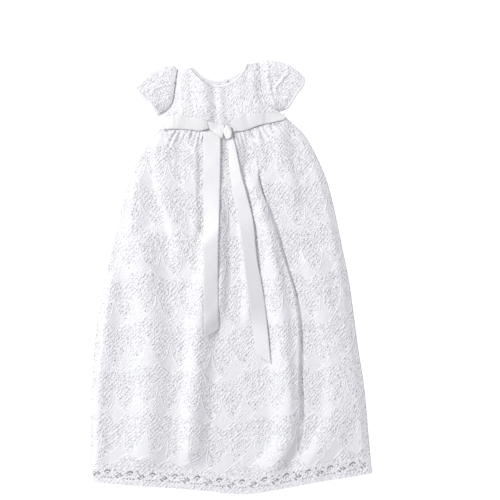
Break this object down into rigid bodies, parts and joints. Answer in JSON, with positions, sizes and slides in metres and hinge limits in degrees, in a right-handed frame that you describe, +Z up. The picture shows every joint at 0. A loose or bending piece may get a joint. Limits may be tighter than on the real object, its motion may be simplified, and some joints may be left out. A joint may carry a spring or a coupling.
{
  "type": "christening gown",
  "caption": "Baby's christening gown laid flat: short bodice with puffed cap sleeves, long gathered lace skirt with a cutwork hem, and a ribbon sash knotted at the front.",
  "frame": {"origin": "on the surface that the gown lies on, under the middle of its outline", "axes": "+X to the right as one looks down on the front, +Y towards the neck, +Z up out of the front"},
  "size_m": [0.4518, 0.6957, 0.0213],
  "materials": {
    "lace": "white corded lace, matt",
    "satin_lining": "white satin, soft sheen",
    "binding": "white satin binding, stitched",
    "ribbon": "white satin ribbon, bright sheen",
    "button": "off-white, gloss"
  },
  "bodies": {
    "root": {"skirt_front": "lace", "skirt_back": "lace", "border_front": "lace", "border_back": "lace", "bodice_front": "lace", "bodice_back_left": "lace", "bodice_back_right": "lace", "sleeve_left": "lace", "sleeve_right": "lace", "lining_front": "satin_lining", "lining_back": "satin_lining", "cuff_left": "binding", "cuff_right": "binding", "neck_binding_front": "binding", "neck_binding_back": "binding", "sash_left": "ribbon", "sash_fold": "ribbon", "sash_knot": "ribbon", "sash_right": "ribbon", "sash_back": "ribbon", "tail_left": "ribbon", "tail_right": "ribbon", "back_button": "button"}
  },
  "joints": []
}
